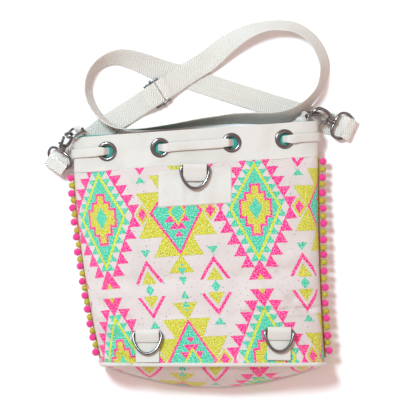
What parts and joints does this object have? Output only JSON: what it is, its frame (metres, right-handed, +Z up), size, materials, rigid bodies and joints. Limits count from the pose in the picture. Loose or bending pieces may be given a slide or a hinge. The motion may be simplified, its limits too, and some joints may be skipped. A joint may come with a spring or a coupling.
{
  "type": "bucket bag",
  "caption": "Drawstring bucket bag of patterned cloth lying on its front, with pompom side trims, D-rings, eyelets and a clip-on webbing strap with a slider.",
  "frame": {"origin": "middle of the bounding box of the whole lying bag and strap, on the table", "axes": "+X across the bag to the right as seen with its back up, +Y from the base to the mouth, +Z up from the table"},
  "size_m": [0.3616, 0.4254, 0.0663],
  "materials": {
    "canvas": "plain cotton canvas, off-white",
    "patterned_cloth": "off-white cloth with pink, teal and yellow geometric embroidery",
    "teal_lining": "plain thin cotton, teal",
    "cotton_webbing": "woven cotton webbing, natural",
    "pompom_trim": "fluffy pompoms, pink and mustard",
    "dark_nickel": "polished dark nickel"
  },
  "bodies": {
    "bag": {"back_panel": "patterned_cloth", "front_panel": "patterned_cloth", "top_band": "canvas", "lining": "teal_lining", "eyelet_back_1": "dark_nickel", "eyelet_back_2": "dark_nickel", "eyelet_back_3": "dark_nickel", "eyelet_back_4": "dark_nickel", "eyelet_front_1": "dark_nickel", "eyelet_front_2": "dark_nickel", "eyelet_front_3": "dark_nickel", "eyelet_front_4": "dark_nickel", "drawstring": "canvas", "base_piping": "canvas", "base_panel": "patterned_cloth", "back_patch": "canvas", "top_ring_tab": "canvas", "lower_left_ring_tab": "canvas", "lower_right_ring_tab": "canvas", "pompom_trim_left": "pompom_trim", "pompom_trim_right": "pompom_trim", "left_side_tab": "canvas", "right_side_tab": "canvas", "shoulder_strap": "cotton_webbing"},
    "top_ring": {"top_ring": "dark_nickel"},
    "lower_left_ring": {"lower_left_ring": "dark_nickel"},
    "lower_right_ring": {"lower_right_ring": "dark_nickel"},
    "left_side_ring": {"left_side_ring": "dark_nickel"},
    "left_hook_eye": {"left_hook_eye": "dark_nickel"},
    "left_hook_claw": {"left_hook_claw": "dark_nickel"},
    "left_hook_gate": {"left_hook_gate": "dark_nickel"},
    "right_side_ring": {"right_side_ring": "dark_nickel"},
    "right_hook_eye": {"right_hook_eye": "dark_nickel"},
    "right_hook_claw": {"right_hook_claw": "dark_nickel"},
    "right_hook_gate": {"right_hook_gate": "dark_nickel"},
    "strap_slider": {"strap_slider": "dark_nickel"}
  },
  "joints": [
    {"name": "top_ring_turn", "type": "hinge", "parent": "bag", "child": "top_ring", "pos_m": [-0.00675, 0.04343, 0.04151], "axis": [-1, 0.0002, 0.0077], "range_deg": [0, 150]},
    {"name": "lower_left_ring_turn", "type": "hinge", "parent": "bag", "child": "lower_left_ring", "pos_m": [-0.06115, -0.14601, 0.05895], "axis": [-0.997, -0.0116, -0.0769], "range_deg": [0, 160]},
    {"name": "lower_right_ring_turn", "type": "hinge", "parent": "bag", "child": "lower_right_ring", "pos_m": [0.0896, -0.14354, 0.05715], "axis": [-0.9947, 0.0162, 0.1012], "range_deg": [0, 160]},
    {"name": "left_side_ring_turn", "type": "hinge", "parent": "bag", "child": "left_side_ring", "pos_m": [-0.13979, 0.0865, 0.02494], "axis": [-0.6088, 0.1353, -0.7817], "range_deg": [-10, 1]},
    {"name": "left_hook_eye_turn", "type": "hinge", "parent": "bag", "child": "left_hook_eye", "pos_m": [-0.16429, 0.048, 0.00994], "axis": [0.7978, -0.5354, 0.2773], "range_deg": [-2, 1]},
    {"name": "left_hook_claw_turn", "type": "hinge", "parent": "left_hook_eye", "child": "left_hook_claw", "pos_m": [-0.15821, 0.06413, 0.02361], "axis": [0.2763, 0.7334, 0.6211], "range_deg": [-6, 18]},
    {"name": "left_hook_gate_turn", "type": "hinge", "parent": "left_hook_claw", "child": "left_hook_gate", "pos_m": [-0.1609, 0.06656, 0.02918], "axis": [-0.5269, 0.6561, -0.5404], "range_deg": [0, 14], "stiffness_Nm_per_rad": 0.004},
    {"name": "right_side_ring_turn", "type": "hinge", "parent": "bag", "child": "right_side_ring", "pos_m": [0.12021, 0.103, 0.01994], "axis": [0.2164, -0.2364, 0.9472], "range_deg": [-6, 5]},
    {"name": "right_hook_eye_turn", "type": "hinge", "parent": "bag", "child": "right_hook_eye", "pos_m": [0.16871, 0.0869, 0.00534], "axis": [0.4335, 0.9002, -0.0422], "range_deg": [-2, 3]},
    {"name": "right_hook_claw_turn", "type": "hinge", "parent": "right_hook_eye", "child": "right_hook_claw", "pos_m": [0.14985, 0.09628, 0.0117], "axis": [-0.8572, 0.4263, 0.2888], "range_deg": [-20, 20]},
    {"name": "right_hook_gate_turn", "type": "hinge", "parent": "right_hook_claw", "child": "right_hook_gate", "pos_m": [0.14368, 0.09391, 0.01246], "axis": [-0.2057, 0.2305, -0.9511], "range_deg": [0, 14], "stiffness_Nm_per_rad": 0.004},
    {"name": "strap_slider_slide", "type": "slide", "parent": "bag", "child": "strap_slider", "axis": [-0.8398, -0.5429, 0], "range_m": [-0.015, 0.05], "deforming": ["shoulder_strap"]}
  ]
}
